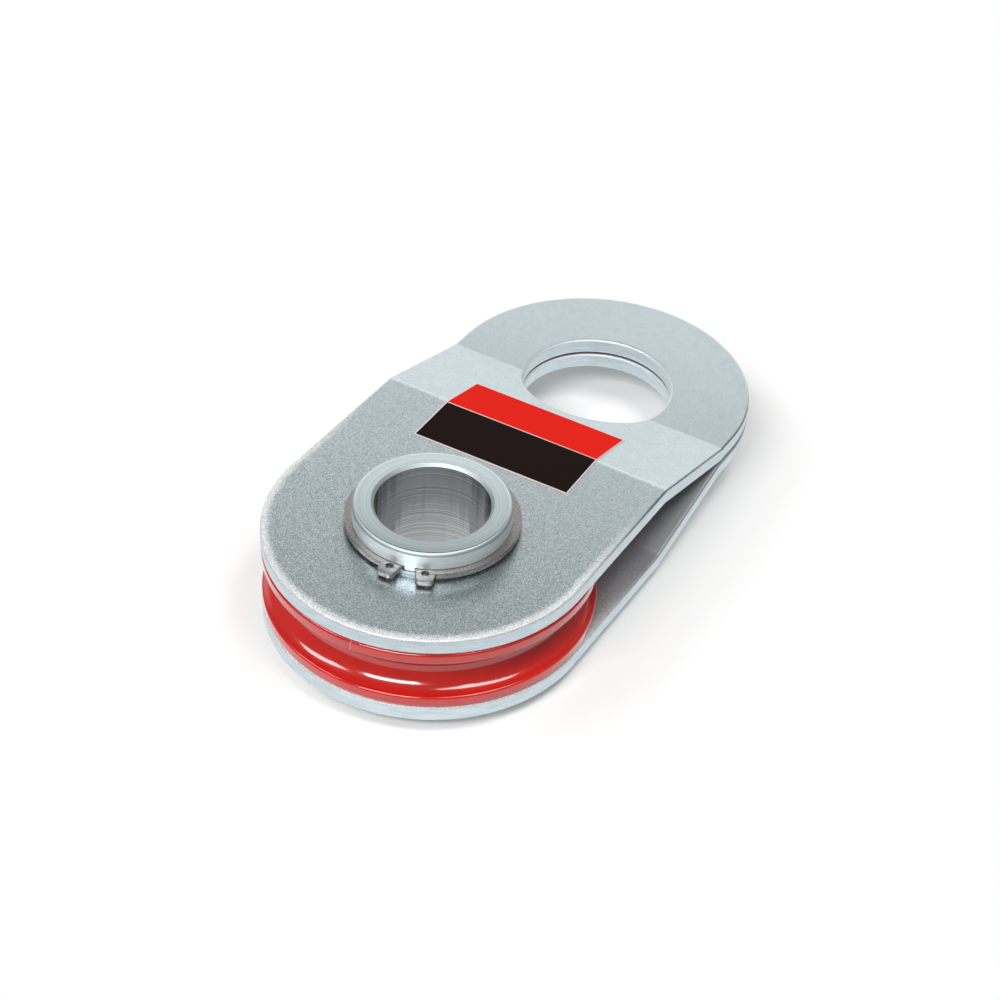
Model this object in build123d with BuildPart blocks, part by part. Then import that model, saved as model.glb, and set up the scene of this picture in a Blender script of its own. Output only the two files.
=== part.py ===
"""Snatch block for wire rope, in millimetres.

The axle stands along Z, and the eye lies along +Y. The origin is on the axle's centre line, at the foot of
its head, where the block rests. Both cheeks are one pressed plate, the rear one turned over: flat beside the
sheave, then sloping inwards past the rope until the two eyes lie one on the other.
"""
import os
from math import atan2, degrees

from build123d import *

# Rope and sheave
rope_diameter = 14.3
groove_clearance = 0.9
groove_depth_ratio = 0.5
groove_lip = 0.8
rim_land = 4.2
rim_round = 0.9
sheave_depth = 31.0
bush_wall = 3.5
bush_chamfer = 0.6

# Cheek plate, bent clear of the rope and drawn in to the eye
plate_thickness = 6.0
eye_distance = 117.5
eye_radius = 28.5
eye_gap = 0.9
slope_margin = 3.5
eye_flat = 9.0
bend_inner_radius = 2.0
edge_roll = 0.9

# Axle
axle_radius = 27.5
axle_wall = 7.5
axle_stand = 9.8
axle_end_round = 1.3
axle_bore_chamfer = 1.0
head_lip = 7.5
head_height = 5.0
head_chamfer = 1.0

# Retaining ring
ring_thickness = 2.0
ring_groove_depth = 1.5
ring_groove_play = 0.15
ring_stand = 1.1
ring_width = 4.45
ring_offset = 0.95
lug_direction = -74.0
lug_spread = 12.3
lug_height = 7.3
lug_width = 7.8
lug_tip_width = 5.4
lug_round = 1.2
lug_hole_radius = 1.35
lug_hole_height = 3.3
lug_gap = 5.7

# Label
label_width = 62.6
label_length = 45.4
label_thickness = 0.2
label_side_shift = -1.6
label_bend_shift = -0.3
label_skew = 1.5

# Fits
axle_clearance = 0.08
bush_clearance = 0.06
side_gap = 0.3
bush_play = 0.1
head_play = 0.1

# Rope groove and sheave width
groove_radius = (rope_diameter + groove_clearance) / 2
groove_depth = groove_depth_ratio * rope_diameter
sheave_width = 2 * groove_radius + 2 * rim_land

# Heights along the axle
rear_face = head_height + head_play
mid_height = rear_face + plate_thickness + side_gap + sheave_width / 2
front_face = mid_height + (mid_height - rear_face)
eye_face = mid_height + eye_gap / 2 + plate_thickness
ring_bottom = front_face + ring_stand
axle_top = front_face + axle_stand

# Radii on the axle
sheave_radius = axle_radius + sheave_depth
cheek_bore_radius = axle_radius + axle_clearance
bush_bore_radius = axle_radius + bush_clearance
bush_radius = bush_bore_radius + bush_wall
bush_length = sheave_width + 2 * (side_gap - bush_play)
axle_bore_radius = axle_radius - axle_wall
head_radius = axle_radius + head_lip
ring_inner_radius = axle_radius - ring_groove_depth

# The front cheek's outer face seen from the side, from beyond the sheave to beyond the eye
cheek_radius = sheave_radius
slope_start = sheave_radius + slope_margin
slope_end = eye_distance - eye_flat
cheek_reach = eye_distance + 2 * cheek_radius
outer_profile = [
    (-2 * cheek_radius, front_face),
    (slope_start, front_face),
    (slope_end, eye_face),
    (cheek_reach, eye_face),
]
bend_radii = [bend_inner_radius + plate_thickness, bend_inner_radius]

# Front cheek: the plate's bent section, cut to its plan outline, then pierced
with BuildPart() as front_cheek_plate:
    with BuildSketch(Plane.YZ):
        with BuildLine():
            outer_line = FilletPolyline(*outer_profile, radius=bend_radii)
            offset(outer_line, amount=plate_thickness, side=Side.RIGHT)
        make_face()
    extrude(amount=2 * cheek_radius, both=True)
    with BuildSketch(Plane.XY.offset(mid_height)):
        with Locations((0, eye_distance / 2)):
            SlotCenterToCenter(eye_distance, 2 * cheek_radius, rotation=90)
    extrude(amount=axle_top, mode=Mode.INTERSECT)
    with BuildSketch(Plane.XY.offset(mid_height)):
        Circle(cheek_bore_radius)
        with Locations((0, eye_distance)):
            Circle(eye_radius)
    extrude(amount=axle_top, mode=Mode.SUBTRACT)

    # Every rim is rolled over, on both faces of the plate
    cut_faces = front_cheek_plate.faces().filter_by(lambda face: abs(face.normal_at().Z) < 0.01)
    plate_faces = front_cheek_plate.faces().filter_by(lambda face: abs(face.normal_at().Z) > 0.5)
    fillet(plate_faces.edges() & cut_faces.edges(), edge_roll)
front_cheek_plate.part.label = "front_cheek_plate"

# Rear cheek: the same plate turned over about the block's middle
with BuildPart() as rear_cheek_plate:
    mirror(front_cheek_plate.part, about=Plane.XY.offset(mid_height))
rear_cheek_plate.part.label = "rear_cheek_plate"

# Sheave: a turned wheel whose round groove holds half the rope's thickness
groove_centre = sheave_radius - groove_depth + groove_radius
with BuildPart() as sheave:
    with BuildSketch(Plane.XZ):
        with Locations(((bush_radius + sheave_radius) / 2, mid_height)):
            Rectangle(sheave_radius - bush_radius, sheave_width)
        with Locations((groove_centre, mid_height)):
            Circle(groove_radius, mode=Mode.SUBTRACT)
        rim_corners = vertices().group_by(Axis.X)[-1].sort_by(Axis.Y)
        fillet([rim_corners[0], rim_corners[-1]], rim_round)
        lip_corners = vertices().filter_by(
            lambda v: abs(v.X - sheave_radius) < 0.01 and abs(v.Y - mid_height) < groove_radius
        )
        fillet(lip_corners, groove_lip)
    revolve(axis=Axis.Z)
sheave.part.label = "sheave"

# Bush: pressed into the sheave, a little longer so that it runs against the cheeks
with BuildPart() as sheave_bush:
    with BuildSketch(Plane.XY.offset(mid_height - bush_length / 2)):
        Circle(bush_radius)
        Circle(bush_bore_radius, mode=Mode.SUBTRACT)
    extrude(amount=bush_length)
    bore_edges = sheave_bush.edges().filter_by(GeomType.CIRCLE).filter_by(lambda e: e.radius < bush_radius)
    chamfer(bore_edges, bush_chamfer)
sheave_bush.part.label = "sheave_bush"

# Axle: a hollow turned sleeve with a head below and the ring's groove above
with BuildPart() as axle_sleeve:
    with BuildSketch():
        Circle(head_radius)
    extrude(amount=head_height)
    chamfer(axle_sleeve.edges().group_by(Axis.Z)[0], head_chamfer)
    with BuildSketch():
        Circle(axle_radius)
    extrude(amount=axle_top)
    with BuildSketch(Plane.XY.offset(ring_bottom)):
        Circle(axle_radius)
        Circle(ring_inner_radius, mode=Mode.SUBTRACT)
    extrude(amount=ring_thickness + ring_groove_play, mode=Mode.SUBTRACT)
    fillet(axle_sleeve.edges().group_by(Axis.Z)[-1], axle_end_round)
    with BuildSketch():
        Circle(axle_bore_radius)
    extrude(amount=axle_top, mode=Mode.SUBTRACT)
    bore_mouths = axle_sleeve.edges().filter_by(GeomType.CIRCLE).filter_by(
        lambda e: abs(e.radius - axle_bore_radius) < 0.01
    )
    chamfer(bore_mouths.sort_by(Axis.Z)[-1], axle_bore_chamfer)
axle_sleeve.part.label = "axle_sleeve"

# Retaining ring: widest opposite its gap, with a plier hole in each lug
lug_middle = ring_inner_radius + lug_height / 2
lug_tip_radius = ring_inner_radius + lug_height
lug_flank = degrees(atan2(lug_height, (lug_width - lug_tip_width) / 2))
first_lug = lug_direction - lug_spread
with BuildPart() as circlip:
    with BuildSketch(Plane.XY.offset(ring_bottom)):
        with PolarLocations(ring_offset, 1, start_angle=lug_direction + 180):
            Circle(ring_inner_radius + ring_width)
        with PolarLocations(lug_middle, 2, start_angle=first_lug, angular_range=2 * lug_spread, endpoint=True):
            Trapezoid(lug_width, lug_height, lug_flank, rotation=-90)
        Circle(ring_inner_radius, mode=Mode.SUBTRACT)
        with PolarLocations(lug_middle, 1, start_angle=lug_direction):
            Rectangle(2 * lug_height, lug_gap, mode=Mode.SUBTRACT)
        lug_corners = vertices().filter_by(lambda v: (v.X**2 + v.Y**2) ** 0.5 > lug_tip_radius - 0.1)
        fillet(lug_corners, lug_round)
        with PolarLocations(
            ring_inner_radius + lug_hole_height, 2, start_angle=first_lug, angular_range=2 * lug_spread, endpoint=True
        ):
            Circle(lug_hole_radius, mode=Mode.SUBTRACT)
    extrude(amount=ring_thickness)
circlip.part.label = "circlip"

# Label: a film on the cheek's outer face, folded over the first bend
with BuildPart() as label:
    with BuildSketch(Plane.YZ):
        with BuildLine():
            face_line = FilletPolyline(*outer_profile, radius=bend_radii)
            offset(face_line, amount=label_thickness, side=Side.LEFT)
        make_face()
    extrude(amount=label_width, both=True)
    with BuildSketch(Plane.XY.offset(mid_height)):
        with Locations((label_side_shift, slope_start + label_bend_shift)):
            Rectangle(label_width, label_length, rotation=label_skew)
    extrude(amount=axle_top, mode=Mode.INTERSECT)
label.part.label = "label"

os.makedirs("parts", exist_ok=True)
export_step(front_cheek_plate.part, "parts/front_cheek_plate.step")
export_step(rear_cheek_plate.part, "parts/rear_cheek_plate.step")
export_step(sheave.part, "parts/sheave.step")
export_step(sheave_bush.part, "parts/sheave_bush.step")
export_step(axle_sleeve.part, "parts/axle_sleeve.step")
export_step(circlip.part, "parts/circlip.step")
export_step(label.part, "parts/label.step")
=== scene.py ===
"""The looks of a snatch block: cheeks, sheave, axle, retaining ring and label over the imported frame."""
import logging
import math
from collections.abc import Callable, Iterator, Mapping, Sequence
from contextlib import contextmanager
from dataclasses import dataclass
from enum import Enum, IntEnum
from typing import Any

import bmesh
import bpy
from bpy.types import Material, MeshPolygon, Node, NodeSocket, Object, World
from mathutils import Matrix, Vector


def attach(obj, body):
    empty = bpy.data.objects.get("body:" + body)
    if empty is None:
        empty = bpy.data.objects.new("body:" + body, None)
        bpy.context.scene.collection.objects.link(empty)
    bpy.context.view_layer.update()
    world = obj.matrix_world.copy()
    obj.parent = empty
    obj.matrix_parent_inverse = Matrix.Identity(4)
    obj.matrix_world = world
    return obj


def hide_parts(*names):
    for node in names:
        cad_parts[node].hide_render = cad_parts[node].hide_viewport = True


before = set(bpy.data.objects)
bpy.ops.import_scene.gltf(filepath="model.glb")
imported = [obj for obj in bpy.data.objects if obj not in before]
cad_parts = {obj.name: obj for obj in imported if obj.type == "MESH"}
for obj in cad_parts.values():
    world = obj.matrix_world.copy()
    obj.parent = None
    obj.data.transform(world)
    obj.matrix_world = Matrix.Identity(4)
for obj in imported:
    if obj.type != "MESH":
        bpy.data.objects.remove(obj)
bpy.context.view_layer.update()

log = logging.getLogger("snatch_block")

Point = tuple[float, float]
Span = tuple[float, float]
Materials = Mapping[str, Material]

# A millimetre and the distance within which two points are one, in metres
MM = 0.001
TOUCH = 1e-6

# Sizes in millimetres that several pieces share
EYE_DISTANCE = 117.5
CHEEK_RADIUS = 58.5
MID_HEIGHT = 23.2
AXLE_RADIUS = 27.5
RING_SEAT_RADIUS = 26.0
RING_FOOT = 42.4

# Facets round a punched hole or the ring, and the angles over which a punched edge is broken and up to
# which the shading is rounded
HOLE_FACETS = 192
SHARP_DEGREES = 50
SMOOTH_DEGREES = 30

# Nearly all of a noise pattern's values lie in this span
NOISE_SPAN = (0.3, 0.7)

# The sockets that are fed together: of a noise, of a bump, and the factor and colours of a Mix node
NOISE = ("Vector", "Scale", "Detail", "Roughness")
BUMP = ("Strength", "Distance", "Height", "Normal")
MIX = (0, 6, 7)

WHITE = "ffffff"


def linear(code: str) -> tuple[float, float, float, float]:
    """Turn an sRGB hex colour into linear light.

    Args:
        code: six hex digits, such as "c8102e".

    Returns:
        Linear red, green and blue, and full alpha.
    """
    shares = [int(code[i:i + 2], 16) / 255 for i in (0, 2, 4)]
    light = [s / 12.92 if s <= 0.04045 else ((s + 0.055) / 1.055) ** 2.4 for s in shares]
    return (light[0], light[1], light[2], 1.0)


def metres(span: Span) -> Span:
    """Turn a span from millimetres into metres."""
    return (span[0] * MM, span[1] * MM)


class Nodes:
    """The nodes of one material or world, and the place that its patterns read."""

    def __init__(self, owner: Material | World, coordinates: str = "Object") -> None:
        """Start with nothing but the place.

        Args:
            owner: the new material or world.
            coordinates: the output of Texture Coordinate that gives the place.
        """
        owner.use_nodes = True
        self.tree = owner.node_tree
        self.tree.nodes.clear()
        self.place = self.add("TexCoord").outputs[coordinates]

    def add(self, kind: str, inputs: Mapping[Any, Any] | Sequence[Any] = (), **settings: Any) -> Node:
        """Add a node, set it up and link what feeds it.

        Args:
            kind: the node's type after the words ShaderNode, such as "Bump".
            inputs: what feeds the sockets, in their order or by name or number, where several names
                together take as many. Each is a value, an sRGB hex colour, an output socket, or a node
                whose first output is linked.
            settings: the node's own options by name.

        Returns:
            The new node.
        """
        node = self.tree.nodes.new(f"ShaderNode{kind}")
        for name, value in settings.items():
            setattr(node, name, value)
        fed = inputs if isinstance(inputs, Mapping) else {tuple(range(len(inputs))): inputs}
        for names, values in fed.items():
            for name, value in zip(names, values) if isinstance(names, tuple) else [(names, values)]:
                if isinstance(value, Node):
                    value = value.outputs[0]
                if isinstance(value, NodeSocket):
                    self.tree.links.new(value, node.inputs[name])
                else:
                    node.inputs[name].default_value = linear(value) if isinstance(value, str) else value
        return node

    def two_tone(self, pattern: Node, dark: str, light: str) -> NodeSocket:
        """Blend from a dark to a light tone along a noise pattern.

        Args:
            pattern: the noise.
            dark: the tone of its low values, as sRGB hex.
            light: the tone of its high values, as sRGB hex.

        Returns:
            The blended colour.
        """
        share = self.add("MapRange", (pattern, *NOISE_SPAN))
        return self.add("Mix", {MIX: (share, dark, light)}, data_type="RGBA").outputs[2]

    def outline_reach(self) -> NodeSocket:
        """Measure in plan how far a point lies from the line between the axle and the eye.

        The cheeks' outline lies at one distance from that line all round.

        Returns:
            The distance in metres.
        """
        parts = self.add("SeparateXYZ", {"Vector": self.place})
        nearest = self.add("Clamp", (parts.outputs["Y"], 0.0, EYE_DISTANCE * MM))
        beyond = self.add("Math", (parts.outputs["Y"], nearest), operation="SUBTRACT")
        offset = self.add("CombineXYZ", {"X": parts.outputs["X"], "Y": beyond})
        return self.add("VectorMath", {0: offset}, operation="LENGTH").outputs["Value"]


def direction(azimuth: float, elevation: float) -> Vector:
    """Give the unit vector from the block towards a lamp or the camera.

    Args:
        azimuth: degrees, where 0 is along -Y and 90 along +X.
        elevation: degrees over the floor.

    Returns:
        The vector.
    """
    a, e = math.radians(azimuth), math.radians(elevation)
    return Vector((math.sin(a) * math.cos(e), -math.cos(a) * math.cos(e), math.sin(e)))


def clear_selection() -> None:
    """Leave no object selected."""
    bpy.ops.object.select_all(action="DESELECT")


def pick(obj: Object) -> None:
    """Make one object the only selected and active one.

    Args:
        obj: the object.
    """
    clear_selection()
    obj.select_set(True)
    bpy.context.view_layer.objects.active = obj


def settle(name: str) -> Object:
    """Name the primitive that was just added and put its place and turn into its mesh.

    Args:
        name: the piece's name.

    Returns:
        The primitive.
    """
    obj = bpy.context.object
    obj.name = obj.data.name = name
    bpy.ops.object.transform_apply(location=True, rotation=True, scale=True)
    return obj


@contextmanager
def edit(obj: Object) -> Iterator[None]:
    """Open one object in edit mode with nothing selected, and leave edit mode afterwards.

    Args:
        obj: the mesh.
    """
    pick(obj)
    bpy.ops.object.mode_set(mode="EDIT")
    bpy.ops.mesh.select_mode(type="VERT")
    bpy.ops.mesh.select_all(action="DESELECT")
    yield
    bpy.ops.object.mode_set(mode="OBJECT")


def select_whole() -> None:
    """Select the whole open mesh."""
    bpy.ops.mesh.select_all(action="SELECT")


def select(obj: Object, kind: str, test: Callable[[Any], bool]) -> None:
    """Select the parts of the open mesh that pass a test, and only those.

    Args:
        obj: the mesh in edit mode.
        kind: "VERT" or "EDGE".
        test: says of a bmesh element whether it is selected.
    """
    bpy.ops.mesh.select_mode(type=kind)
    bpy.ops.mesh.select_all(action="DESELECT")
    shape = bmesh.from_edit_mesh(obj.data)
    for element in shape.verts if kind == "VERT" else shape.edges:
        if test(element):
            element.select_set(True)
    bmesh.update_edit_mesh(obj.data)


def face_outwards() -> None:
    """Select the whole open mesh and turn its faces outwards."""
    select_whole()
    bpy.ops.mesh.normals_make_consistent(inside=False)


def apply_modifier(obj: Object, kind: str, **settings: Any) -> None:
    """Add a modifier, set it up and apply it.

    Args:
        obj: the mesh.
        kind: the modifier's type.
        settings: its options by name.
    """
    pick(obj)
    modifier = obj.modifiers.new(kind.title(), kind)
    for name, value in settings.items():
        setattr(modifier, name, value)
    bpy.ops.object.modifier_apply(modifier=modifier.name)


def break_edges(obj: Object, width: float, segments: int) -> None:
    """Round all sharp edges of a piece.

    Args:
        obj: the mesh.
        width: how far the rounding reaches from the edge, in millimetres.
        segments: facets over the rounding.
    """
    apply_modifier(obj, "BEVEL", width=width * MM, segments=segments, limit_method="ANGLE",
                   angle_limit=math.radians(SHARP_DEGREES), use_clamp_overlap=False)


def smooth(obj: Object) -> None:
    """Round the shading over blunt angles while flat faces stay flat.

    Args:
        obj: the mesh.
    """
    pick(obj)
    bpy.ops.object.shade_smooth_by_angle(angle=math.radians(SMOOTH_DEGREES))
    apply_modifier(obj, "WEIGHTED_NORMAL", keep_sharp=True, weight=100, mode="FACE_AREA")


def draw_profile(name: str, corners: Sequence[Point]) -> Object:
    """Draw the closed half-section of a turned piece, standing over the X axis.

    Args:
        name: the piece's name.
        corners: radius and height of each corner in millimetres, in order.

    Returns:
        An object whose mesh is that outline.
    """
    clear_selection()
    bpy.ops.mesh.primitive_plane_add(size=MM, location=(0, 0, 0))
    obj = settle(name)
    spots = [Vector((radius * MM, 0, height * MM)) for radius, height in corners]
    with edit(obj):
        select_whole()
        bpy.ops.mesh.merge(type="CENTER")
        select_whole()
        bpy.ops.transform.translate(value=spots[0])
        for last, spot in zip(spots, spots[1:]):
            bpy.ops.mesh.extrude_vertices_move(TRANSFORM_OT_translate={"value": spot - last})
        select(obj, "VERT", lambda v: min((v.co - spots[0]).length, (v.co - spots[-1]).length) < TOUCH)
        bpy.ops.mesh.edge_face_add()
    return obj


def arc(centre: Point, radius: float, start: float, end: float, steps: int) -> list[Point]:
    """List the points of an arc in a profile.

    Args:
        centre: the arc's centre as radius and height in millimetres.
        radius: its radius in millimetres.
        start: the first point's direction in degrees, where 0 looks away from the axis and 90 looks up.
        end: the last point's direction in degrees.
        steps: how many chords make the arc.

    Returns:
        The points from start to end.
    """
    turns = [math.radians(start + (end - start) * i / steps) for i in range(steps + 1)]
    return [(centre[0] + radius * math.cos(t), centre[1] + radius * math.sin(t)) for t in turns]


def round_corners(obj: Object, corners: Sequence[Point], radius: float, segments: int) -> None:
    """Round or chamfer corners of a drawn profile.

    Args:
        obj: the profile.
        corners: radius and height of each corner in millimetres.
        radius: the rounding's radius in millimetres, or the chamfer's leg.
        segments: facets over the quarter turn, where 1 makes a chamfer.
    """
    spots = [Vector((r * MM, 0, h * MM)) for r, h in corners]
    with edit(obj):
        select(obj, "VERT", lambda v: any((v.co - s).length < TOUCH for s in spots))
        bpy.ops.mesh.bevel(offset_type="OFFSET", offset=radius * MM, segments=segments, affect="VERTICES",
                           clamp_overlap=False)


def turn(obj: Object, steps: int) -> None:
    """Turn a drawn profile round the Z axis into a closed solid.

    Args:
        obj: the profile.
        steps: facets round the full turn.
    """
    with edit(obj):
        select_whole()
        bpy.ops.mesh.spin(steps=steps, angle=2 * math.pi, center=(0, 0, 0), axis=(0, 0, 1))
        select_whole()
        bpy.ops.mesh.remove_doubles(threshold=TOUCH)
        face_outwards()


def punch(obj: Object, radius: float, centre: Sequence[float], length: float,
          facets: int = HOLE_FACETS) -> None:
    """Pierce a piece with a round punch that stands along Z.

    Args:
        obj: the piece.
        radius: the hole's radius in millimetres.
        centre: the punch's centre in millimetres.
        length: the punch's length in millimetres.
        facets: sides round the hole.
    """
    clear_selection()
    bpy.ops.mesh.primitive_cylinder_add(vertices=facets, radius=radius * MM, depth=length * MM,
                                        location=[c * MM for c in centre], end_fill_type="NGON")
    combine(obj, settle("punch"), "DIFFERENCE")


def combine(obj: Object, tool: Object, operation: str) -> None:
    """Subtract a tool body or join it on, then throw the tool away.

    Args:
        obj: the piece.
        tool: the body that is cut out or joined on.
        operation: the Boolean's operation, "DIFFERENCE" or "UNION".
    """
    apply_modifier(obj, "BOOLEAN", operation=operation, object=tool, solver="EXACT")
    bpy.data.objects.remove(tool)


def dress(obj: Object, materials: Sequence[Material],
          choose: Callable[[MeshPolygon], int] | None = None) -> None:
    """Give a piece its finishes.

    Args:
        obj: the mesh.
        materials: one per material slot.
        choose: gives the slot of a face, where there is more than one finish.
    """
    obj.data.materials.clear()
    for material in materials:
        obj.data.materials.append(material)
    if choose:
        for face in obj.data.polygons:
            face.material_index = choose(face)


class Side(Enum):
    """Which cheek a plate is, and which way its outer face looks along Z."""

    FRONT = 1
    REAR = -1


class PlateZone(IntEnum):
    """The parts of a cheek plate's surface, in the order of its material slots."""

    OUTER = 0
    WALL = 1
    INNER = 2


class AxleZone(IntEnum):
    """The parts of the axle's surface, in the order of its material slots."""

    OUTSIDE = 0
    END = 1
    BORE = 2
    BROKEN_EDGE = 3


@dataclass(frozen=True)
class Finish:
    """What all finishes share: a name, and the step from their own nodes to a material."""

    name: str

    def surface(self, nodes: Nodes) -> dict[str, Any]:
        """Add the finish's own nodes.

        Args:
            nodes: the material's nodes.

        Returns:
            The shader's inputs.
        """
        raise NotImplementedError

    def material(self) -> Material:
        """Make the finish's material.

        Returns:
            A material whose shader takes what the finish's own nodes give.
        """
        material = bpy.data.materials.new(self.name)
        nodes = Nodes(material)
        shader = nodes.add("BsdfPrincipled", self.surface(nodes))
        nodes.add("OutputMaterial", {"Surface": shader})
        return material


@dataclass(frozen=True)
class BlastedZinc(Finish):
    """Zinc plate on a blasted steel face: pale blue-grey, matt, with a fine sparkle of pits.

    The grit struck hardest round the axle, so the grain is strong there and fades towards the eye, where a
    painted sheen also lightens the base tone. Where the rim is rolled over round the nose and the eye, the
    pits grow coarse and a painted highlight turns the zinc whitish, so it shows as a bright, broken line. A
    hair-thin painted highlight runs along the first fold.
    """

    name: str = "blasted_zinc"
    light: str = "eefcff"
    dark: str = "818b8f"
    metal_share: float = 1.0
    grain_mm: float = 0.38
    pit_depth_mm: float = 0.18
    flat_share: float = 0.42
    struck_over_mm: Span = (0.0, 75.0)
    struck_share: Span = (1.0, 0.35)
    mottle_mm: float = 2.6
    mottle_share: float = 0.2
    painted_sheen_over_mm: Span = (-50.0, 150.0)
    painted_sheen_tone: Span = (0.36, 0.52)
    fold_mm: float = 62.5
    fold_highlight_mm: float = 0.2
    fold_highlight_share: float = 0.3
    stain_mm: float = 40.0
    roughness: float = 0.3
    polished: float = 0.02
    dulled: float = 0.03
    painted_rim_highlight: str = "ffffff"
    painted_rim_highlight_dark: str = "aeb6ba"
    painted_rim_highlight_metal: float = 0.3
    painted_rim_highlight_share: float = 1.0
    painted_rim_highlight_over_mm: Span = (0.0, 50.0)
    painted_rim_highlight_slope: Span = (0.85, 0.96)
    hole_rim_mm: float = 40.0
    rim_mm: float = 2.4
    rim_crest: float = 0.1

    def tone(self, nodes: Nodes, grain: Node) -> Node:
        """Work out how light each spot is, from the grit's specks, soft clouds, a painted sheen that
        lightens towards the eye and a painted highlight along the first fold.

        Args:
            nodes: the material's nodes.
            grain: the grit's noise.

        Returns:
            A node that gives 0 for the darkest spots and 1 for the lightest.
        """
        along = nodes.add("SeparateXYZ", {"Vector": nodes.place}).outputs["Y"]
        struck = nodes.add("MapRange", (along, *metres(self.struck_over_mm), *self.struck_share))
        speck = nodes.add("MapRange", (grain, *NOISE_SPAN, -0.5, 0.5))
        # Painted sheen: the base tone lightens from the axle end towards the eye
        wear_and_painted_sheen = nodes.add("MapRange", (along, *metres(self.painted_sheen_over_mm), *self.painted_sheen_tone))
        mottle = nodes.add("TexNoise", {NOISE: (nodes.place, 1 / (self.mottle_mm * MM), 3.0, 0.55)})
        cloud = nodes.add("Math", (mottle, self.mottle_share, wear_and_painted_sheen), operation="MULTIPLY_ADD")
        # Painted highlight: a hair-thin lighter line along the first fold
        fold = nodes.add("Math", (along, self.fold_mm * MM, self.fold_highlight_mm * MM), operation="COMPARE")
        with_fold_highlight = nodes.add("Math", (fold, self.fold_highlight_share, cloud), operation="MULTIPLY_ADD")
        return nodes.add("Math", (speck, struck, with_fold_highlight), operation="MULTIPLY_ADD", use_clamp=True)

    def rolled(self, nodes: Nodes, grain: Node) -> Node:
        """Find the rolled rims round the nose, the eye and the axle's hole, which get coarser pits and a
        painted highlight.

        Args:
            nodes: the material's nodes.
            grain: the grit's noise, which tears the rim's inner border.

        Returns:
            A node that gives 1 where the rims get coarse pits and the painted highlight, and 0 on the
            flats.
        """
        along = nodes.add("SeparateXYZ", {"Vector": nodes.place}).outputs["Y"]
        # The painted highlight lies on the rims near the nose, where they face the light, fades out along
        # the plate, and lies round the holes
        nose = nodes.add("MapRange", (along, *metres(self.painted_rim_highlight_over_mm), self.painted_rim_highlight_share, 0.0))
        reach = nodes.outline_reach()
        holed = nodes.add("Math", (reach, self.hole_rim_mm * MM), operation="LESS_THAN")
        spread = nodes.add("Math", (nose, holed), operation="MAXIMUM")
        lean = nodes.add("SeparateXYZ", {"Vector": nodes.add("NewGeometry").outputs["Normal"]})
        level = nodes.add("Math", {0: lean.outputs["Z"]}, operation="ABSOLUTE")
        tilted = nodes.add("MapRange", (level, *self.painted_rim_highlight_slope, 1.0, 0.0))
        torn = nodes.add("Math", (grain, self.rim_mm * MM, reach), operation="MULTIPLY_ADD")
        crest = CHEEK_RADIUS - self.rim_crest * self.rim_mm
        rim = nodes.add("MapRange", (torn, *metres((CHEEK_RADIUS - self.rim_mm, crest))))
        either = nodes.add("Math", (tilted, rim), operation="MAXIMUM")
        return nodes.add("Math", (either, spread), operation="MULTIPLY")

    def surface(self, nodes: Nodes) -> dict[str, Any]:
        """Add the nodes of a metal whose colour, roughness and pits come from the blasting grit, with a
        painted highlight on the rolled rims.

        Args:
            nodes: the material's nodes.

        Returns:
            The shader's inputs.
        """
        grain = nodes.add("TexNoise", {NOISE: (nodes.place, 1 / (self.grain_mm * MM), 2.0, 0.6)})
        tone = self.tone(nodes, grain)
        rolled = self.rolled(nodes, grain)
        plain = nodes.add("Mix", {MIX: (tone, self.dark, self.light)}, data_type="RGBA").outputs[2]
        # Painted highlight: on the rims the base colour turns white, and below it the metal share drops
        painted_rim_highlight = nodes.add("Mix", {MIX: (tone, self.painted_rim_highlight_dark, self.painted_rim_highlight)}, data_type="RGBA").outputs[2]
        skin = nodes.add("Mix", {MIX: (rolled, plain, painted_rim_highlight)}, data_type="RGBA").outputs[2]
        lost = self.painted_rim_highlight_metal - self.metal_share
        metal = nodes.add("Math", (rolled, lost, self.metal_share), operation="MULTIPLY_ADD")
        stain = nodes.add("TexNoise", {NOISE: (nodes.place, 1 / (self.stain_mm * MM), 2.0)})
        polish = nodes.add("MapRange", (
            stain, *NOISE_SPAN, self.roughness - self.polished, self.roughness + self.dulled))
        gained = 1 - self.flat_share
        coarse = nodes.add("Math", (rolled, gained, self.flat_share), operation="MULTIPLY_ADD")
        pits = nodes.add("Bump", {BUMP: (coarse, self.pit_depth_mm * MM, grain)})
        return {"Base Color": skin, "Metallic": metal, "Roughness": polish, "Normal": pits}


@dataclass(frozen=True)
class GrainedSteel(Finish):
    """Thinly plated steel with a faint grain, which is drawn out and streaked along a sheared edge."""

    light: str
    dark: str
    roughness: float
    grain_mm: float
    grain_depth_mm: float
    grain_share: float
    streaked: float = 0.0
    stretch: tuple[float, float, float] = (1.0, 1.0, 1.0)

    def surface(self, nodes: Nodes) -> dict[str, Any]:
        """Add the nodes of a metal whose grain, long where it is stretched, is seen and felt.

        Args:
            nodes: the material's nodes.

        Returns:
            The shader's inputs.
        """
        stretched = nodes.add("Mapping", {"Vector": nodes.place, "Scale": self.stretch})
        grain = nodes.add("TexNoise", {NOISE: (stretched, 1 / (self.grain_mm * MM), 2.0)})
        polish = nodes.add("MapRange", (
            grain, 0.0, 1.0, self.roughness - self.streaked, self.roughness + self.streaked))
        tooth = nodes.add("Bump", {BUMP: (self.grain_share, self.grain_depth_mm * MM, grain)})
        return {"Base Color": nodes.two_tone(grain, self.dark, self.light), "Metallic": 1.0,
                "Roughness": polish, "Normal": tooth}


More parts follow.
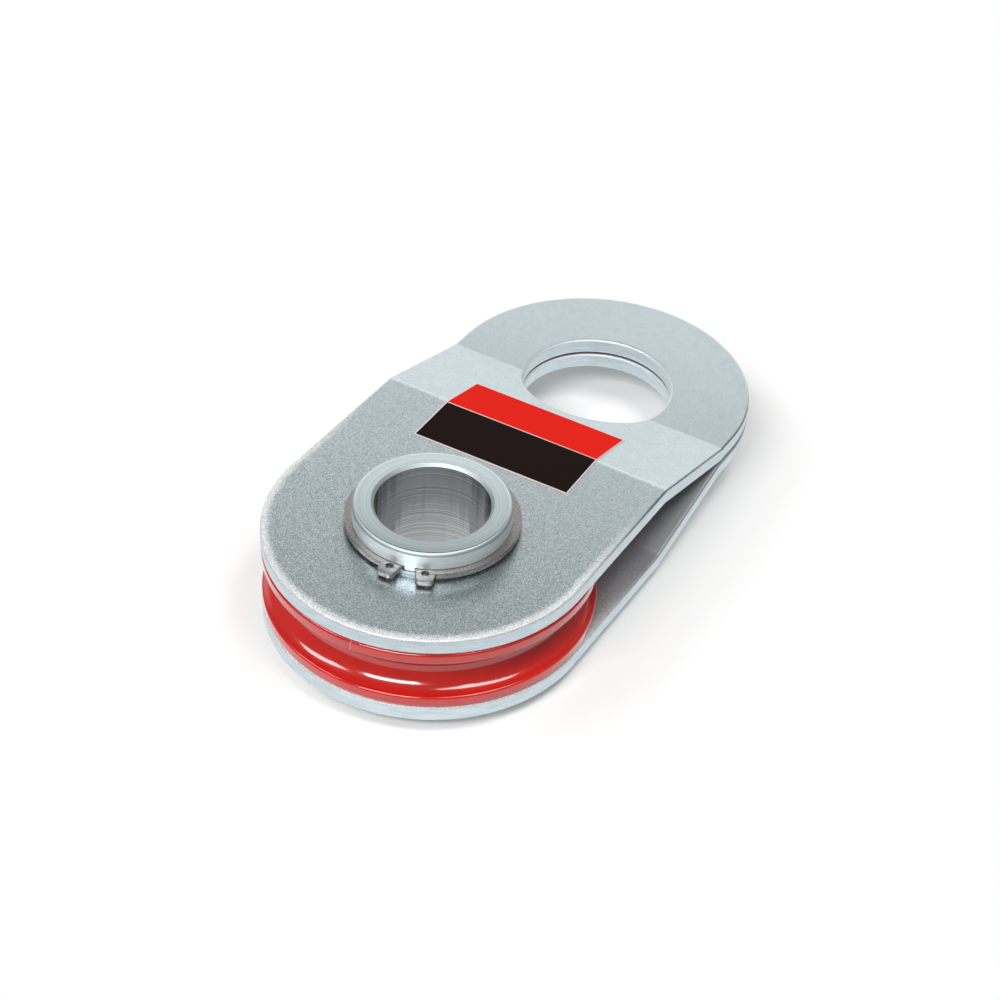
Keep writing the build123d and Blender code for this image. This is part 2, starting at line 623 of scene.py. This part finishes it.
@dataclass(frozen=True)
class RedEnamel(Finish):
    """Stoved red enamel on turned steel: deep, wet gloss with a slight orange peel and one fine scratch."""

    name: str = "red_enamel"
    light: str = "cc1e15"
    dark: str = "c01b13"
    flow_mm: float = 9.0
    roughness: float = 0.16
    coat_roughness: float = 0.06
    peel_mm: float = 2.2
    peel_depth_mm: float = 0.05
    peel_share: float = 0.06
    scratch: str = "e0948e"
    scratch_place: Point = (6.6, 25.5)
    scratch_mm: float = 0.11

    def scratched(self, nodes: Nodes, peel: Node) -> Node:
        """Find the hair-fine scratch that runs up the wheel's front from its place.

        Args:
            nodes: the material's nodes.
            peel: the orange peel's noise, which makes the scratch stray.

        Returns:
            A node that gives 1 in the scratch and 0 elsewhere.
        """
        across, above = (place * MM for place in self.scratch_place)
        parts = nodes.add("SeparateXYZ", {"Vector": nodes.place})
        strayed = nodes.add("Math", (peel, MM, parts.outputs["X"]), operation="MULTIPLY_ADD")
        line = nodes.add("Math", (strayed, across, self.scratch_mm * MM), operation="COMPARE")
        upper = nodes.add("Math", (parts.outputs["Z"], above), operation="GREATER_THAN")
        front = nodes.add("Math", (parts.outputs["Y"], 0.0), operation="LESS_THAN")
        there = nodes.add("Math", (upper, front), operation="MULTIPLY")
        return nodes.add("Math", (line, there), operation="MULTIPLY")

    def surface(self, nodes: Nodes) -> dict[str, Any]:
        """Add the nodes of a coated red with a soft unevenness under the gloss.

        Args:
            nodes: the material's nodes.

        Returns:
            The shader's inputs.
        """
        flow = nodes.add("TexNoise", {NOISE: (nodes.place, 1 / (self.flow_mm * MM), 2.0)})
        peel = nodes.add("TexNoise", {NOISE: (nodes.place, 1 / (self.peel_mm * MM), 1.0)})
        paint = nodes.two_tone(flow, self.dark, self.light)
        marked = self.scratched(nodes, peel)
        wear_and_painted_sheen = nodes.add("Mix", {MIX: (marked, paint, self.scratch)}, data_type="RGBA").outputs[2]
        skin = nodes.add("Bump", {BUMP: (self.peel_share, self.peel_depth_mm * MM, peel)})
        return {"Base Color": wear_and_painted_sheen, "Roughness": self.roughness, "Coat Weight": 1.0,
                "Coat Roughness": self.coat_roughness, "Normal": skin, "Coat Normal": skin}


@dataclass(frozen=True)
class TurnedZinc(Finish):
    """Zinc over turned steel: bright, with the tool's fine rings left in it, and chatter in the bore."""

    light: str
    dark: str
    ring_mm: float
    ring_depth_mm: float
    roughness: float
    along_axis: bool = True
    ring_share: float = 0.6
    wander_mm: float = 30.0
    wander_rings: float = 1.2
    flute_mm: float = 5.0
    flute_depth_mm: float = 0.0

    def surface(self, nodes: Nodes) -> dict[str, Any]:
        """Add the nodes of a metal with rings stacked along the axis, or round it on an end face.

        Args:
            nodes: the material's nodes.

        Returns:
            The shader's inputs.
        """
        parts = nodes.add("SeparateXYZ", {"Vector": nodes.place})
        plan = nodes.add("CombineXYZ", {"X": parts.outputs["X"], "Y": parts.outputs["Y"]})
        reach = nodes.add("VectorMath", {0: plan}, operation="LENGTH").outputs["Value"]
        run = parts.outputs["Z"] if self.along_axis else reach
        wander = nodes.add("TexNoise", {NOISE: (nodes.place, 1 / (self.wander_mm * MM), 1.0)})
        stray = self.wander_rings * self.ring_mm * MM
        drift = nodes.add("Math", (wander, stray, run), operation="MULTIPLY_ADD")
        line = nodes.add("CombineXYZ", {"Z": drift})
        coarse = nodes.add("TexNoise", {NOISE: (line, 1 / (self.ring_mm * MM), 3.0, 0.7)})
        flutes = nodes.add("TexNoise", {NOISE: (plan, 1 / (self.flute_mm * MM), 1.0)})
        chatter = nodes.add("Bump", {BUMP: (1.0, self.flute_depth_mm * MM, flutes)})
        rings = nodes.add("Bump", {BUMP: (self.ring_share, self.ring_depth_mm * MM, coarse, chatter)})
        return {"Base Color": nodes.two_tone(coarse, self.dark, self.light), "Metallic": 1.0,
                "Roughness": self.roughness, "Normal": rings}


@dataclass(frozen=True)
class SinteredBronze(Finish):
    """Oil-filled sintered bronze: a dull gold with fine pores."""

    name: str = "sintered_bronze"
    light: str = "b98d4f"
    dark: str = "8c6534"
    roughness: float = 0.45
    pore_mm: float = 0.7
    pore_depth_mm: float = 0.04
    pore_share: float = 0.3
    pore_edge: Span = (0.05, 0.35)

    def surface(self, nodes: Nodes) -> dict[str, Any]:
        """Add the nodes of a dull golden metal with pores.

        Args:
            nodes: the material's nodes.

        Returns:
            The shader's inputs.
        """
        pores = nodes.add("TexVoronoi", {"Vector": nodes.place, "Scale": 1 / (self.pore_mm * MM)})
        share = nodes.add("MapRange", (pores, *self.pore_edge))
        gold = nodes.add("Mix", {MIX: (share, self.dark, self.light)}, data_type="RGBA").outputs[2]
        dents = nodes.add("Bump", {BUMP: (self.pore_share, self.pore_depth_mm * MM, share)})
        return {"Base Color": gold, "Metallic": 1.0, "Roughness": self.roughness, "Normal": dents}


@dataclass(frozen=True)
class PrintedFilm(Finish):
    """Printed vinyl film: plain red and black fields with thin pale lines, and a satin skin."""

    name: str = "printed_film"
    red: str = "db1400"
    black: str = "1b110f"
    pale: str = "d9c9c6"
    centre: Point = (-1.6, 61.7)
    half: Point = (31.3, 22.7)
    skew: float = 1.5
    border_mm: float = 0.45
    fold_mm: float = 0.3
    skin_mm: float = 1.1
    skin_depth_mm: float = 0.02
    skin_share: float = 0.1
    satin: Span = (0.36, 0.46)
    specular: float = 0.02

    def printed(self, nodes: Nodes) -> NodeSocket:
        """Lay out the two fields, which meet in a pale line at the cheek's fold inside a pale border.

        Args:
            nodes: the material's nodes.

        Returns:
            The printed colour.
        """
        level = nodes.add("Mapping", {
            "Vector": nodes.place, "Location": (self.centre[0] * MM, self.centre[1] * MM, 0),
            "Rotation": (0, 0, math.radians(self.skew))}, vector_type="TEXTURE")
        parts = nodes.add("SeparateXYZ", {"Vector": level})
        fold = self.fold_mm * MM
        lines = nodes.add("Math", (parts.outputs["Y"], fold, self.border_mm / 2 * MM), operation="COMPARE")
        for axis, half in zip("XY", self.half):
            far = nodes.add("Math", {0: parts.outputs[axis]}, operation="ABSOLUTE")
            edge = nodes.add("Math", (far, (half - self.border_mm) * MM), operation="GREATER_THAN")
            lines = nodes.add("Math", (lines, edge), operation="MAXIMUM")
        upper = nodes.add("Math", (parts.outputs["Y"], fold), operation="GREATER_THAN")
        fields = nodes.add("Mix", {MIX: (upper, self.black, self.red)}, data_type="RGBA").outputs[2]
        return nodes.add("Mix", {MIX: (lines, fields, self.pale)}, data_type="RGBA").outputs[2]

    def surface(self, nodes: Nodes) -> dict[str, Any]:
        """Add the nodes of a film with its print and a faint, satin unevenness.

        Args:
            nodes: the material's nodes.

        Returns:
            The shader's inputs.
        """
        grain = nodes.add("TexNoise", {NOISE: (nodes.place, 1 / (self.skin_mm * MM), 2.0)})
        skin = nodes.add("Bump", {BUMP: (self.skin_share, self.skin_depth_mm * MM, grain)})
        polish = nodes.add("MapRange", (grain, 0.0, 1.0, *self.satin))
        return {"Base Color": self.printed(nodes), "Roughness": polish,
                "Specular IOR Level": self.specular, "Normal": skin}


@dataclass
class CheekPlate:
    """One pressed plate, flat beside the sheave, sloping in past the rope and flat again at the eye."""

    side: Side
    thickness: float = 6.0
    eye_radius: float = 28.5
    bore_radius: float = 27.58
    face_height: float = 18.1
    eye_face_height: float = 6.45
    slope_start: float = 62.0
    slope_end: float = 108.5
    inner_bend: float = 2.0
    bend_segments: int = 6
    punch_length: float = 80.0
    roll: float = 0.9
    roll_segments: int = 4
    facets: int = 256
    wall_lean: float = 0.15

    @property
    def name(self) -> str:
        """The plate's name."""
        return f"{self.side.name.lower()}_cheek"

    def fold(self, obj: Object, line: float, radius: float) -> None:
        """Round one fold of the plate's outer face.

        Args:
            obj: the open sheet.
            line: where the fold's line crosses Y, in millimetres.
            radius: the outer face's bend radius in millimetres.
        """
        slope = math.atan2(self.face_height - self.eye_face_height, self.slope_end - self.slope_start)
        with edit(obj):
            select(obj, "EDGE", lambda e: all(abs(v.co.y - line * MM) < TOUCH for v in e.verts))
            bpy.ops.mesh.bevel(offset_type="OFFSET", offset=radius * math.tan(slope / 2) * MM,
                               segments=self.bend_segments, affect="EDGES", clamp_overlap=False)

    def sheet(self) -> Object:
        """Draw the plate's outer face, bent to its profile.

        Returns:
            The face as an open mesh with its outline.
        """
        clear_selection()
        top = (MID_HEIGHT + self.face_height) * MM
        bpy.ops.mesh.primitive_circle_add(vertices=self.facets, radius=CHEEK_RADIUS * MM, fill_type="NGON",
                                          location=(0, 0, top), rotation=(0, 0, math.pi / self.facets))
        obj = settle(self.name)
        with edit(obj):
            select(obj, "VERT", lambda v: v.co.y > 0)
            bpy.ops.transform.translate(value=(0, EYE_DISTANCE * MM, 0))
            for line in (self.slope_start, self.slope_end):
                select_whole()
                bpy.ops.mesh.bisect(plane_co=(0, line * MM, 0), plane_no=(0, 1, 0))
            select(obj, "VERT", lambda v: v.co.y > self.slope_end * MM - TOUCH)
            bpy.ops.transform.translate(value=(0, 0, (self.eye_face_height - self.face_height) * MM))
            face_outwards()
            shape = bmesh.from_edit_mesh(obj.data)
            shape.faces.ensure_lookup_table()
            if shape.faces[0].normal.z < 0:
                bpy.ops.mesh.flip_normals()
        self.fold(obj, self.slope_start, self.inner_bend + self.thickness)
        self.fold(obj, self.slope_end, self.inner_bend)
        return obj

    def build(self) -> Object:
        """Press, pierce and roll the plate, and turn the rear one over.

        Returns:
            The finished plate, in place.
        """
        obj = self.sheet()
        apply_modifier(obj, "SOLIDIFY", thickness=self.thickness * MM, offset=-1.0, use_even_offset=True)
        punch(obj, self.bore_radius, (0, 0, MID_HEIGHT), self.punch_length)
        punch(obj, self.eye_radius, (0, EYE_DISTANCE, MID_HEIGHT), self.punch_length)
        break_edges(obj, self.roll, self.roll_segments)
        if self.side is Side.REAR:
            with edit(obj):
                select_whole()
                bpy.ops.transform.resize(value=(1, 1, -1), center_override=(0, 0, MID_HEIGHT * MM))
                face_outwards()
        smooth(obj)
        return obj

    def zone(self, face: MeshPolygon) -> PlateZone:
        """Tell by the way a face looks which part of the surface it belongs to.

        Args:
            face: the face.

        Returns:
            The part.
        """
        if abs(face.normal.z) < self.wall_lean:
            return PlateZone.WALL
        return PlateZone.OUTER if face.normal.z * self.side.value > 0 else PlateZone.INNER

    def finish(self, obj: Object, materials: Materials) -> None:
        """Dress the outer face with its rolled rims, the sheared walls and the inner face, whose darker
        zinc is painted shade.

        Args:
            obj: the plate.
            materials: the finishes by name.
        """
        dress(obj, [materials[name] for name in ("blasted_zinc", "sheared_zinc", "dull_shaded_zinc")], self.zone)
        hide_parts(f"{self.name}_plate")
        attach(obj, self.name)


@dataclass
class RopeSheave:
    """The rope wheel and the bush pressed into it."""

    radius: float = 58.5
    width: float = 23.6
    bore_radius: float = 31.06
    groove_radius: float = 7.6
    groove_depth: float = 7.15
    groove_chords: int = 32
    lip_round: float = 0.8
    rim_round: float = 0.9
    round_segments: int = 5
    steps: int = 288

    def build(self) -> Object:
        """Turn the wheel with its round groove.

        Returns:
            The finished wheel, in place.
        """
        low, high = MID_HEIGHT - self.width / 2, MID_HEIGHT + self.width / 2
        centre = self.radius - self.groove_depth + self.groove_radius
        reach = math.degrees(math.acos((centre - self.radius) / self.groove_radius))
        groove = arc((centre, MID_HEIGHT), self.groove_radius, 180 + reach, 180 - reach, self.groove_chords)
        obj = draw_profile("rope_sheave", [
            (self.bore_radius, low), (self.radius, low), *groove,
            (self.radius, high), (self.bore_radius, high)])
        round_corners(obj, [groove[0], groove[-1]], self.lip_round, self.round_segments)
        round_corners(obj, [(self.radius, low), (self.radius, high)], self.rim_round, self.round_segments)
        turn(obj, self.steps)
        smooth(obj)
        return obj

    def finish(self, obj: Object, materials: Materials) -> None:
        """Dress the wheel and its bush.

        Args:
            obj: the wheel.
            materials: the finishes by name.
        """
        dress(obj, [materials["red_enamel"]])
        dress(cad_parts["sheave_bush"], [materials["sintered_bronze"]])
        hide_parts("sheave")
        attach(obj, "sheave")


@dataclass
class HollowAxle:
    """The turned sleeve that carries everything, headed below and grooved for the ring above."""

    bore_radius: float = 20.0
    top: float = 51.1
    end_round: float = 1.3
    end_segments: int = 6
    bore_chamfer: float = 1.0
    head_radius: float = 35.0
    head_height: float = 5.0
    head_chamfer: float = 1.0
    head_round: float = 0.4
    head_segments: int = 3
    groove_width: float = 2.15
    groove_round: float = 0.15
    groove_segments: int = 2
    steps: int = 256
    end_lean: float = 0.97
    bore_play: float = 0.1

    def build(self) -> Object:
        """Turn the sleeve.

        Returns:
            The finished sleeve, in place.
        """
        groove_top = RING_FOOT + self.groove_width
        obj = draw_profile("hollow_axle", [
            (self.bore_radius, 0), (self.head_radius, 0), (self.head_radius, self.head_height),
            (AXLE_RADIUS, self.head_height), (AXLE_RADIUS, RING_FOOT), (RING_SEAT_RADIUS, RING_FOOT),
            (RING_SEAT_RADIUS, groove_top), (AXLE_RADIUS, groove_top), (AXLE_RADIUS, self.top),
            (self.bore_radius, self.top)])
        round_corners(obj, [(self.head_radius, 0)], self.head_chamfer, 1)
        round_corners(obj, [(self.head_radius, self.head_height)], self.head_round, self.head_segments)
        rims = [(AXLE_RADIUS, groove_top), (AXLE_RADIUS, RING_FOOT)]
        round_corners(obj, rims, self.groove_round, self.groove_segments)
        round_corners(obj, [(AXLE_RADIUS, self.top)], self.end_round, self.end_segments)
        round_corners(obj, [(self.bore_radius, self.top)], self.bore_chamfer, 1)
        turn(obj, self.steps)
        smooth(obj)
        return obj

    def zone(self, face: MeshPolygon) -> AxleZone:
        """Tell by a face's place and the way it looks which part of the surface it belongs to.

        Args:
            face: the face.

        Returns:
            The part.
        """
        if abs(face.normal.z) > self.end_lean:
            return AxleZone.END
        if math.hypot(face.center.x, face.center.y) / MM < self.bore_radius + self.bore_play:
            return AxleZone.BORE
        broken = face.center.z > (self.top - self.end_round) * MM
        return AxleZone.BROKEN_EDGE if broken else AxleZone.OUTSIDE

    def finish(self, obj: Object, materials: Materials) -> None:
        """Dress the outside in its lightened colour, which is painted light, the end faces, the bore, and
        the round and chamfer of the free end in a darker colour, which is painted shade that dims their
        highlight.

        Args:
            obj: the sleeve.
            materials: the finishes by name.
        """
        names = ("turned_wall_lightened", "turned_end", "turned_bore", "turned_edge_darkened")
        dress(obj, [materials[name] for name in names], self.zone)
        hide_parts("axle_sleeve")
        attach(obj, "axle")


@dataclass
class RetainingRing:
    """The external ring, widest opposite its gap, with a holed lug each side of the gap."""

    width: float = 4.45
    offset: float = 0.95
    thickness: float = 2.0
    direction: float = -74.0
    spread: float = 12.3
    seat_play: float = 0.01
    lug_height: float = 7.3
    lug_width: float = 7.8
    lug_tip_width: float = 5.4
    lug_round: float = 1.2
    lug_segments: int = 5
    hole_radius: float = 1.35
    hole_height: float = 3.3
    hole_facets: int = 32
    gap: float = 5.7
    gap_reach: Span = (-5.0, 12.0)
    cutter_height: float = 12.0
    edge: float = 0.18
    edge_segments: int = 2

    def polar(self, reach: float, angle: float) -> Vector:
        """Give a point at the ring's mid-thickness.

        Args:
            reach: its distance from the axis in millimetres.
            angle: its direction in degrees.

        Returns:
            The point in metres.
        """
        a = math.radians(angle)
        return Vector((reach * math.cos(a), reach * math.sin(a), RING_FOOT + self.thickness / 2)) * MM

    def band(self) -> Object:
        """Draw the ring's two rims, fill the band between them and give it its thickness.

        Returns:
            The closed ring, still without gap and lugs.
        """
        clear_selection()
        foot = Vector((0, 0, -self.thickness / 2 * MM))
        back = self.polar(self.offset, self.direction + 180)
        turned = (0, 0, math.radians(self.direction))
        bpy.ops.mesh.primitive_circle_add(vertices=HOLE_FACETS, radius=(RING_SEAT_RADIUS + self.width) * MM,
                                          location=back + foot, rotation=turned)
        obj = settle("retaining_ring")
        with edit(obj):
            bpy.ops.mesh.select_mode(type="EDGE")
            inner = RING_SEAT_RADIUS + 2 * self.seat_play
            bpy.ops.mesh.primitive_circle_add(vertices=HOLE_FACETS, radius=inner * MM,
                                              location=self.polar(0, 0) + foot, rotation=turned)
            select_whole()
            bpy.ops.mesh.bridge_edge_loops()
            select_whole()
            bpy.ops.mesh.extrude_region_move(TRANSFORM_OT_translate={"value": (0, 0, self.thickness * MM)})
            face_outwards()
        return obj

    def block(self, near: float, far: float, width: float, height: float) -> Object:
        """Make a block that lies along the X axis at the ring's mid-thickness.

        Args:
            near: where it starts along X, in millimetres.
            far: where it ends along X, in millimetres.
            width: its size along Y in millimetres.
            height: its size along Z in millimetres.

        Returns:
            The block.
        """
        clear_selection()
        bpy.ops.mesh.primitive_cube_add(size=1, location=self.polar((near + far) / 2, 0),
                                        scale=((far - near) * MM, width * MM, height * MM))
        return settle("block")

    def swing(self, obj: Object, angle: float) -> None:
        """Turn a block's mesh round the axle's axis.

        Args:
            obj: the block.
            angle: the turn in degrees.
        """
        obj.rotation_euler.z = math.radians(angle)
        pick(obj)
        bpy.ops.object.transform_apply(location=True, rotation=True, scale=True)

    def lug(self, angle: float) -> Object:
        """Make one lug: a block that narrows to a rounded tip.

        Args:
            angle: the lug's direction in degrees.

        Returns:
            The lug, its foot sunk into the ring.
        """
        tip = RING_SEAT_RADIUS + self.lug_height
        obj = self.block(RING_SEAT_RADIUS, tip, self.lug_width, self.thickness)
        with edit(obj):
            select(obj, "VERT", lambda v: v.co.x > tip * MM - TOUCH)
            bpy.ops.transform.resize(value=(1, self.lug_tip_width / self.lug_width, 1),
                                     center_override=self.polar(tip, 0))
            select(obj, "EDGE", lambda e: all(v.co.x > tip * MM - TOUCH for v in e.verts)
                   and abs(e.verts[0].co.z - e.verts[1].co.z) > MM)
            bpy.ops.mesh.bevel(offset_type="OFFSET", offset=self.lug_round * MM, segments=self.lug_segments,
                               affect="EDGES")
        self.swing(obj, angle)
        return obj

    def build(self) -> Object:
        """Blank, pierce and dull the ring.

        Returns:
            The finished ring, in place.
        """
        obj = self.band()
        near, far = (RING_SEAT_RADIUS + reach for reach in self.gap_reach)
        gap = self.block(near, far, self.gap, self.cutter_height)
        self.swing(gap, self.direction)
        combine(obj, gap, "DIFFERENCE")
        holes = RING_SEAT_RADIUS + self.hole_height
        for angle in (self.direction - self.spread, self.direction + self.spread):
            combine(obj, self.lug(angle), "UNION")
            centre = self.polar(holes, angle) / MM
            punch(obj, self.hole_radius, centre, self.cutter_height, self.hole_facets)
        punch(obj, RING_SEAT_RADIUS + self.seat_play, self.polar(0, 0) / MM, self.cutter_height)
        break_edges(obj, self.edge, self.edge_segments)
        smooth(obj)
        return obj

    def finish(self, obj: Object, materials: Materials) -> None:
        """Dress the ring.

        Args:
            obj: the ring.
            materials: the finishes by name.
        """
        dress(obj, [materials["spring_steel"]])
        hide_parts("circlip")
        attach(obj, "axle")


@dataclass
class FoldedLabel:
    """The label's film, which the frame already holds in shape over the first fold."""

    node: str = "label"

    def build(self) -> Object:
        """Take the film from the frame."""
        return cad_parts[self.node]

    def finish(self, obj: Object, materials: Materials) -> None:
        """Dress the film.

        Args:
            obj: the label.
            materials: the finishes by name.
        """
        dress(obj, [materials["printed_film"]])


@dataclass(frozen=True)
class SoftBox:
    """One soft box on a dome round the block, turned towards it."""

    name: str
    azimuth: float
    elevation: float
    size_degrees: Point
    strength: float

    def hang(self, dome: float) -> None:
        """Hang the lamp. Its face is as bright as white times its strength.

        Args:
            dome: the dome's radius in metres.
        """
        data = bpy.data.lights.new(self.name, "AREA")
        data.shape = "RECTANGLE"
        data.size, data.size_y = (2 * dome * math.tan(math.radians(a) / 2) for a in self.size_degrees)
        data.energy = self.strength * math.pi * data.size * data.size_y
        obj = bpy.data.objects.new(self.name, data)
        bpy.context.scene.collection.objects.link(obj)
        obj.location = direction(self.azimuth, self.elevation) * dome
        obj.rotation_euler = (-obj.location).to_track_quat("-Z", "Y").to_euler()


@dataclass
class Studio:
    """The pale floor, the soft lights and the camera at the photograph's angle."""

    focal_px: float = 2068.07
    image_px: float = 1000.0
    sensor_mm: float = 36.0
    clip: Span = (0.01, 20.0)
    azimuth: float = 29.045
    elevation: float = 39.508
    roll: float = 3.47
    eye_point: tuple[float, float, float] = (281.571, -460.298, 498.005)
    floor_paint: str = "f5f4f3"
    floor_reach: float = 132.0
    floor_facets: int = 128
    fade: Span = (58.0, 100.0)
    mirrored_glow: float = 0.55
    dome: float = 1.4
    boxes: tuple[SoftBox, ...] = (
        SoftBox("front_box", 5, 48, (28, 11), 19.0),
        SoftBox("right_box", 92, 70, (26, 18), 8.5),
        SoftBox("left_box", -56, 50, (26, 10), 9.0),
    )
    front_light: float = 0.2
    ceiling_light: float = 0.1
    screen_light: Span = (1.03, 1.36)
    screen_height: Span = (0.2, 0.6)
    ceiling_height: Span = (0.6, 0.69)
    screen_side: Span = (0.66, 0.9)

    def camera(self) -> None:
        """Place the camera where the photograph was taken from, and make it the scene's own."""
        a, r = math.radians(self.azimuth), math.radians(self.roll)
        back = direction(self.azimuth, self.elevation)
        level = Vector((math.cos(a), math.sin(a), 0))
        upright = back.cross(level)
        right = math.cos(r) * level + math.sin(r) * upright
        up = math.cos(r) * upright - math.sin(r) * level
        data = bpy.data.cameras.new("camera")
        data.sensor_width = self.sensor_mm
        data.lens = self.focal_px * self.sensor_mm / self.image_px
        data.clip_start, data.clip_end = self.clip
        obj = bpy.data.objects.new("camera", data)
        bpy.context.scene.collection.objects.link(obj)
        turned = Matrix((right, up, back)).transposed().to_4x4()
        obj.matrix_world = Matrix.Translation(Vector(self.eye_point) * MM) @ turned
        bpy.context.scene.camera = obj

    def floor(self) -> None:
        """Lay a pale table, which turns into the white background round the block's shadow."""
        clear_selection()
        facets = self.floor_facets
        bpy.ops.mesh.primitive_circle_add(vertices=facets, radius=self.floor_reach * MM, fill_type="NGON",
                                          location=(0, 0, 0), rotation=(0, 0, math.pi / facets))
        obj = settle("studio_floor")
        with edit(obj):
            select(obj, "VERT", lambda v: v.co.y > 0)
            bpy.ops.transform.translate(value=(0, EYE_DISTANCE * MM, 0))
        material = bpy.data.materials.new("pale_floor")
        nodes = Nodes(material)
        reach = nodes.outline_reach()
        faded = nodes.add("MapRange", (reach, *metres(self.fade)), interpolation_type="SMOOTHSTEP")
        paint = nodes.add("BsdfDiffuse", {"Color": self.floor_paint})
        glow = nodes.add("Emission", {"Color": WHITE, "Strength": 1.0})
        rays = nodes.add("LightPath")
        mirrored = nodes.add("Math", (rays.outputs["Is Glossy Ray"], rays.outputs["Is Transmission Ray"]),
                             operation="MAXIMUM")
        reflected = nodes.add("Math", (mirrored, self.mirrored_glow), operation="MULTIPLY")
        share = nodes.add("Math", (rays.outputs["Is Camera Ray"], faded, reflected),
                         operation="MULTIPLY_ADD")
        both = nodes.add("MixShader", (share, paint, glow))
        nodes.add("OutputMaterial", {"Surface": both})
        dress(obj, [material])

    def world(self) -> None:
        """Light the dim room with one bright screen behind the block, which ends under a dark ceiling."""
        world = bpy.data.worlds.new("studio")
        nodes = Nodes(world, "Generated")
        height = nodes.add("SeparateXYZ", {"Vector": nodes.place}).outputs["Z"]
        level = nodes.add("VectorMath", (nodes.place, (1, 1, 0)), operation="MULTIPLY")
        heading = nodes.add("VectorMath", {0: level}, operation="NORMALIZE")
        behind = -direction(self.azimuth, 0)
        away = nodes.add("VectorMath", (heading, behind), operation="DOT_PRODUCT").outputs["Value"]
        bright = nodes.add("MapRange", (height, *self.screen_height, *self.screen_light),
                           interpolation_type="SMOOTHSTEP")
        screen = nodes.add("MapRange", (height, *self.ceiling_height, bright, self.ceiling_light),
                           interpolation_type="SMOOTHSTEP")
        turned = nodes.add("MapRange", (away, *self.screen_side), interpolation_type="SMOOTHSTEP")
        light = nodes.add("Mix", {0: turned, 2: self.front_light, 3: screen}, data_type="FLOAT")
        room = nodes.add("Background", {"Color": WHITE, "Strength": light})
        white = nodes.add("Background", {"Color": WHITE, "Strength": 1.0})
        rays = nodes.add("LightPath")
        both = nodes.add("MixShader", (rays.outputs["Is Camera Ray"], room, white))
        nodes.add("OutputWorld", {"Surface": both})
        bpy.context.scene.world = world

    def build(self) -> None:
        """Set up the whole studio."""
        self.camera()
        self.floor()
        self.world()
        for box in self.boxes:
            box.hang(self.dome)
        bpy.context.scene.view_settings.view_transform = "Standard"


def main() -> None:
    """Set up the studio, make the finishes, build and dress the pieces in order and log each piece's face
    count.
    """
    logging.basicConfig(level=logging.INFO, format="%(message)s")
    Studio().build()
    finishes = (
        BlastedZinc(),
        # The inner faces: a duller, darker copy of the blasted zinc, whose darker colour is painted shade
        # between the cheeks; its rims keep the painted highlight
        BlastedZinc("dull_shaded_zinc", "c8cbce", "86878b", metal_share=0.55, painted_rim_highlight_share=0.9, roughness=0.45),
        GrainedSteel("sheared_zinc", "d8e6ec", "c3d3da", 0.4, 0.9, 0.03, 0.25, 0.06, (0.12, 0.12, 1.0)),
        RedEnamel(),
        SinteredBronze(),
        # The outside of the axle: its near-white colour is painted light that brightens the wall
        TurnedZinc("turned_wall_lightened", "f4fafc", "e4edf1", 0.8, 0.03, roughness=0.52),
        TurnedZinc("turned_end", "d9e5e9", "c3d1d6", 0.9, 0.008, roughness=0.22, along_axis=False),
        TurnedZinc("turned_bore", "e2e4e5", "8a8e90", 0.8, 0.07, roughness=0.2, flute_depth_mm=1.0),
        # The round and chamfer of the free end: a darker copy of the turned zinc, painted shade that dims
        # their highlight
        TurnedZinc("turned_edge_darkened", "ced5d8", "b8c0c4", 0.8, 0.03, roughness=0.56),
        GrainedSteel("spring_steel", "c2bdbb", "8c8583", 0.34, 0.6, 0.03, 0.3),
        PrintedFilm(),
    )
    materials = {finish.name: finish.material() for finish in finishes}
    cheeks = [CheekPlate(side) for side in Side]
    for piece in (*cheeks, RopeSheave(), HollowAxle(), RetainingRing(), FoldedLabel()):
        obj = piece.build()
        piece.finish(obj, materials)
        log.info("%s: %d faces", obj.name, len(obj.data.polygons))


if __name__ == "__main__":
    main()
